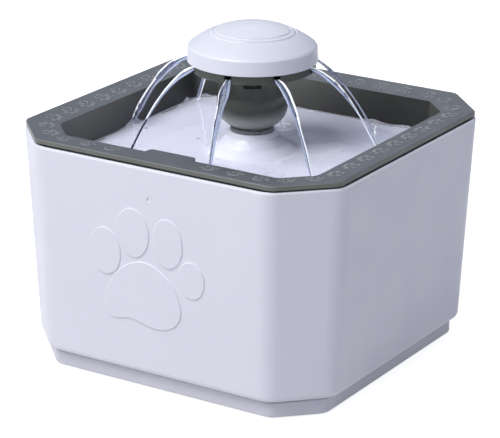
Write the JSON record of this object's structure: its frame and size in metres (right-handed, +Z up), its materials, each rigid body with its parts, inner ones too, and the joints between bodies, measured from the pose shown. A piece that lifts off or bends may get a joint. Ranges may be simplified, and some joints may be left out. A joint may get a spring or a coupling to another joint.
{
  "type": "pet water fountain",
  "caption": "Square pet water fountain with cut corners: white tank, grey lid with a drinking well, and a domed spout head fed by a submerged pump.",
  "frame": {"origin": "on the floor under the middle of the tank", "axes": "+Z up, -Y is the front with the paw ornament and the finger tab, +X is to the right seen from the front"},
  "size_m": [0.1898, 0.1898, 0.1724],
  "materials": {
    "white_plastic": "moulded, satin gloss",
    "tray_plastic": "moulded, glossy and wet",
    "cap_plastic": "moulded, satin gloss",
    "grey_plastic": "moulded, fine texture",
    "foot_rubber": "matt",
    "gasket_rubber": "matt",
    "bush_rubber": "matt",
    "cup_rubber": "soft, slightly clear",
    "tube_silicone": "clear silicone",
    "pump_plastic": "black moulded",
    "impeller_plastic": "moulded",
    "slider_plastic": "moulded",
    "epoxy": "cast resin",
    "core_steel": "laminated",
    "coil_copper": "enamelled wire",
    "ferrite": "sintered",
    "ceramic": "ground ceramic",
    "foam": "open-cell sponge",
    "lead_jacket": "soft jacket",
    "holder_plastic": "moulded, translucent",
    "pouch_cloth": "non-woven cloth",
    "carbon": "granules",
    "resin": "beads"
  },
  "bodies": {
    "base": {"tank": "white_plastic", "base_plinth": "white_plastic", "rubber_feet": "foot_rubber", "riser_tube": "tube_silicone", "pump_body": "pump_plastic", "pump_potting": "epoxy", "stator_core": "core_steel", "stator_coil": "coil_copper", "impeller_shaft": "ceramic", "front_bush": "bush_rubber", "rear_bush": "bush_rubber", "impeller_cover": "pump_plastic", "suction_cups": "cup_rubber", "pump_lead": "lead_jacket", "cable_grommet": "gasket_rubber"},
    "lid": {"rim_frame": "grey_plastic"},
    "tray": {"drip_tray": "tray_plastic"},
    "holder": {"filter_holder": "holder_plastic", "filter_pouch": "pouch_cloth", "carbon_bed": "carbon", "resin_bed": "resin"},
    "head": {"column": "grey_plastic", "spray_disc": "grey_plastic", "spout_gasket": "gasket_rubber"},
    "head_cap": {"cap": "cap_plastic"},
    "strainer": {"pump_strainer": "pump_plastic", "foam_prefilter": "foam"},
    "slider": {"flow_slider": "slider_plastic"},
    "rotor": {"impeller": "impeller_plastic", "rotor_magnet": "ferrite"}
  },
  "joints": [
    {"name": "lid_lift", "type": "slide", "parent": "base", "child": "lid", "axis": [0, 0, 1], "range_m": [0, 0.08]},
    {"name": "tray_lift", "type": "slide", "parent": "lid", "child": "tray", "axis": [0, 0, 1], "range_m": [0, 0.05]},
    {"name": "holder_pull", "type": "slide", "parent": "tray", "child": "holder", "axis": [0, 0, -1], "range_m": [0, 0.014]},
    {"name": "head_lift", "type": "slide", "parent": "tray", "child": "head", "axis": [0, 0, 1], "range_m": [0, 0.03]},
    {"name": "cap_lift", "type": "slide", "parent": "head", "child": "head_cap", "axis": [0, 0, 1], "range_m": [0, 0.014]},
    {"name": "strainer_pull", "type": "slide", "parent": "base", "child": "strainer", "axis": [0, -1, 0], "range_m": [0, 0.014]},
    {"name": "flow_slide", "type": "slide", "parent": "strainer", "child": "slider", "axis": [1, 0, 0], "range_m": [0, 0.008]},
    {"name": "impeller_spin", "type": "hinge", "parent": "base", "child": "rotor", "pos_m": [0, 0.009, 0.0334], "axis": [0, 1, 0], "continuous": true}
  ]
}
